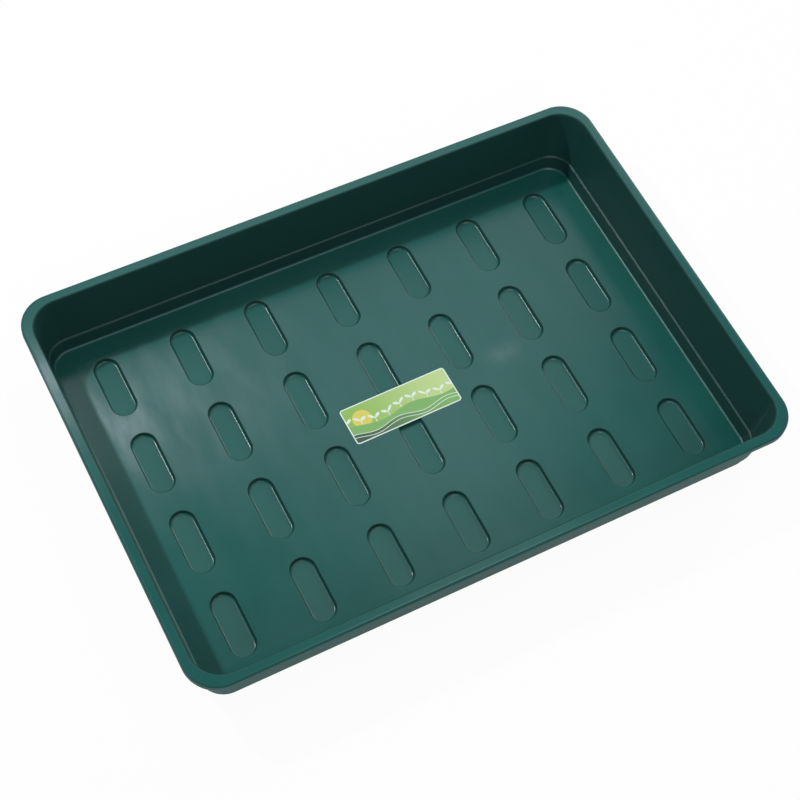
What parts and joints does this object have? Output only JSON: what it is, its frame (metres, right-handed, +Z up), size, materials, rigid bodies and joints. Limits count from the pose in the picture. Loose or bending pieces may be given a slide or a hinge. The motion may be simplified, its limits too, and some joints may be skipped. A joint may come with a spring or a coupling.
{
  "type": "garden tray",
  "caption": "Open rectangular garden tray in dark green plastic, with a turned-down rim, drafted walls, a low ledge, a floor of shallow oblong wells and a stuck-on paper label.",
  "frame": {"origin": "on the ground under the middle of the tray, at the level of its feet", "axes": "+X along the tray's length, +Y across it towards the back, +Z up out of the open side"},
  "size_m": [0.56, 0.388, 0.0755],
  "materials": {
    "tray_plastic": "dark green moulded plastic with a soft satin gloss",
    "label_paper": "coated paper label, printed in white, pale green and mid green"
  },
  "bodies": {
    "root": {"tray": "tray_plastic", "label": "label_paper"}
  },
  "joints": []
}
